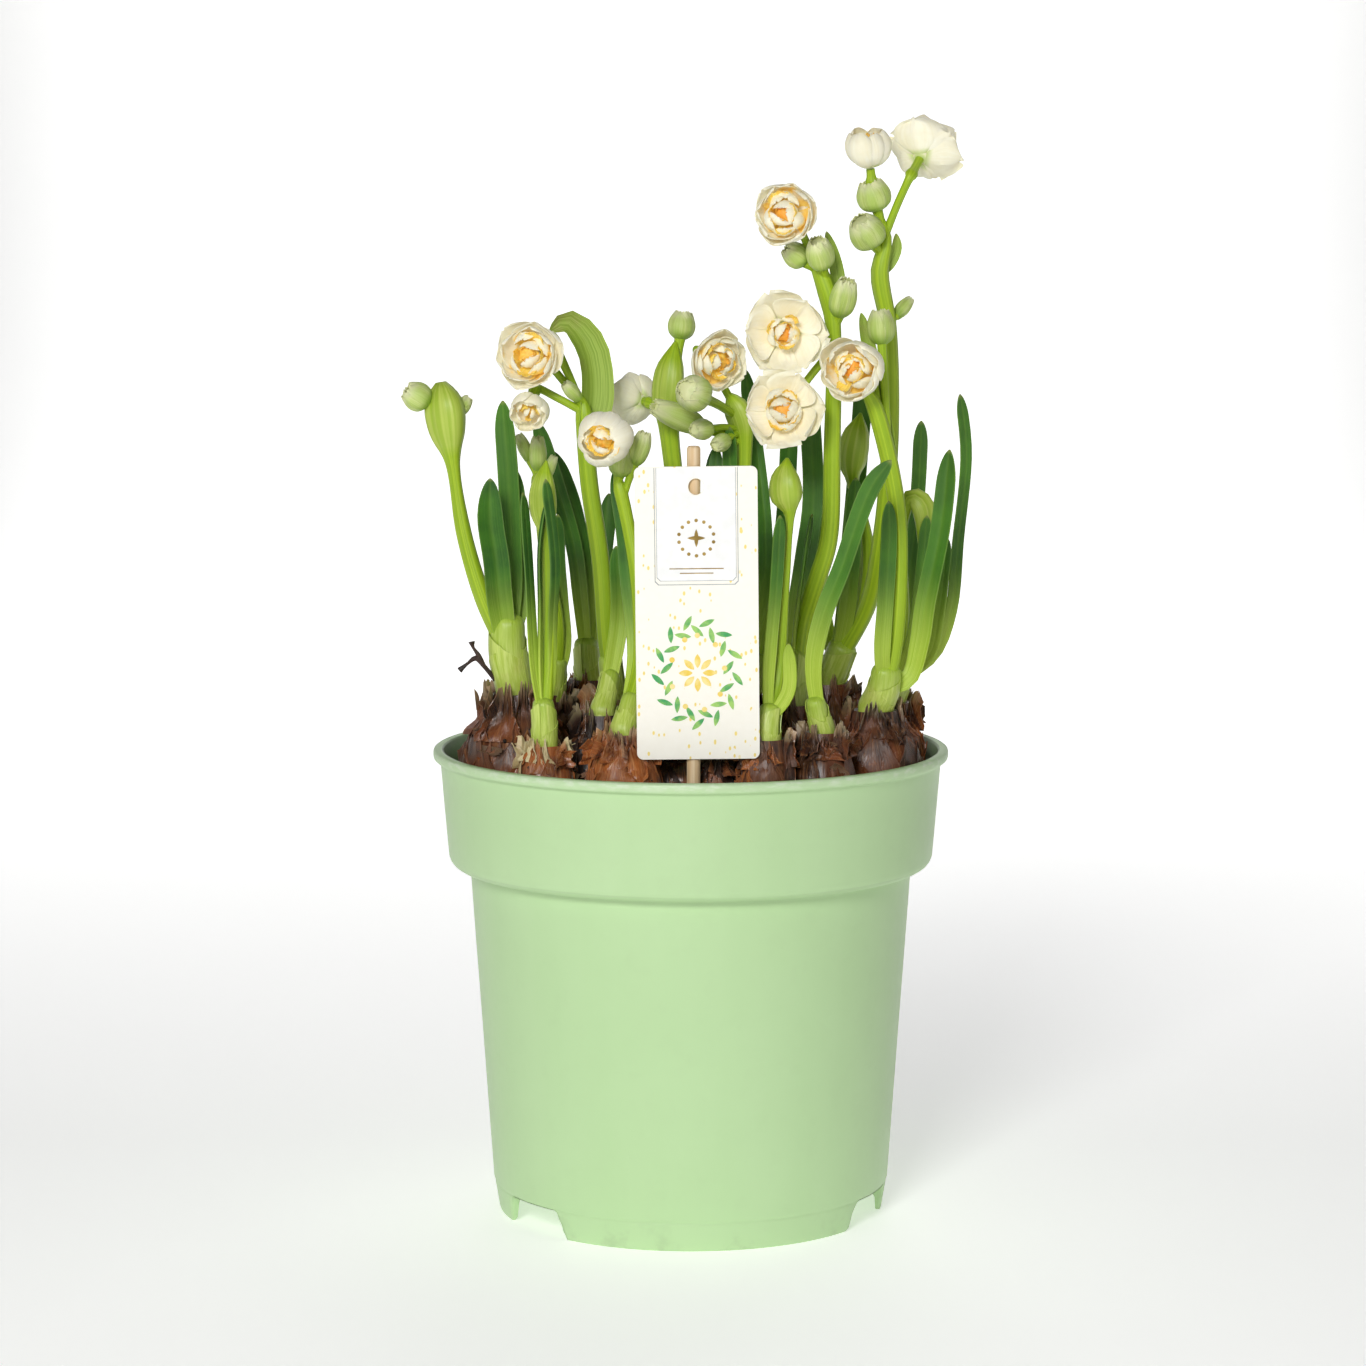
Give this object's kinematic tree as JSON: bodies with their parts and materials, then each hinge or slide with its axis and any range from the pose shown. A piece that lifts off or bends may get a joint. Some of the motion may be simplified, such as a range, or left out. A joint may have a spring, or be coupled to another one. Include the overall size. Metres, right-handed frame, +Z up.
{
  "type": "potted bridal crown narcissus",
  "caption": "Round nursery pot of soil holding papery bulbs with strap leaves, closed buds and small double blooms with yellow crowns, and a blank label on a round stick.",
  "frame": {"origin": "on the surface that the pot stands on, at the pot's axis", "axes": "+Z up along the pot's axis, -Y towards the side with the label, +X to the right of someone who faces the label"},
  "size_m": [0.2057, 0.19, 0.4029],
  "materials": {
    "pot_plastic": "satin",
    "compost": "matte",
    "stick_wood": "matte",
    "label_card": "satin",
    "bulb_tunic": "satin",
    "leaf_tissue": "satin",
    "petal_tissue": "satin",
    "crown_tissue": "satin"
  },
  "bodies": {
    "root": {"pot": "pot_plastic", "soil": "compost", "label_stick": "stick_wood", "label": "label_card", "bulb_back": "bulb_tunic", "bulb_back_left": "bulb_tunic", "bulb_back_right": "bulb_tunic", "bulb_behind_label": "bulb_tunic", "bulb_centre": "bulb_tunic", "bulb_centre_right": "bulb_tunic", "bulb_dark_left": "bulb_tunic", "bulb_front_far_right": "bulb_tunic", "bulb_front_left": "bulb_tunic", "bulb_front_onion": "bulb_tunic", "bulb_front_right": "bulb_tunic", "bulb_left": "bulb_tunic", "bulb_left_rear": "bulb_tunic", "bulb_mid_left": "bulb_tunic", "bulb_right": "bulb_tunic", "bulb_right_rear": "bulb_tunic", "bulb_tall_right": "bulb_tunic", "shoot_back": "leaf_tissue", "shoot_back_left": "leaf_tissue", "shoot_back_right": "leaf_tissue", "shoot_centre": "leaf_tissue", "shoot_centre_right": "leaf_tissue", "shoot_dark_left": "leaf_tissue", "shoot_front_far_right": "leaf_tissue", "shoot_front_left": "leaf_tissue", "shoot_front_onion": "leaf_tissue", "shoot_front_right": "leaf_tissue", "shoot_left": "leaf_tissue", "shoot_left_rear": "leaf_tissue", "shoot_mid_left": "leaf_tissue", "shoot_rear_middle": "leaf_tissue", "shoot_right": "leaf_tissue", "shoot_right_rear": "leaf_tissue", "shoot_tall_right": "leaf_tissue", "petals_back_turned": "petal_tissue", "petals_cup": "petal_tissue", "petals_globe": "petal_tissue", "petals_high": "petal_tissue", "petals_largest": "petal_tissue", "petals_left_half_open": "petal_tissue", "petals_left_high": "petal_tissue", "petals_lower": "petal_tissue", "petals_middle": "petal_tissue", "petals_right_half_open": "petal_tissue", "petals_top_turned": "petal_tissue", "crown_back_turned": "crown_tissue", "crown_cup": "crown_tissue", "crown_globe": "crown_tissue", "crown_high": "crown_tissue", "crown_largest": "crown_tissue", "crown_left_half_open": "crown_tissue", "crown_left_high": "crown_tissue", "crown_lower": "crown_tissue", "crown_middle": "crown_tissue", "crown_right_half_open": "crown_tissue", "crown_top_turned": "crown_tissue"}
  },
  "joints": []
}
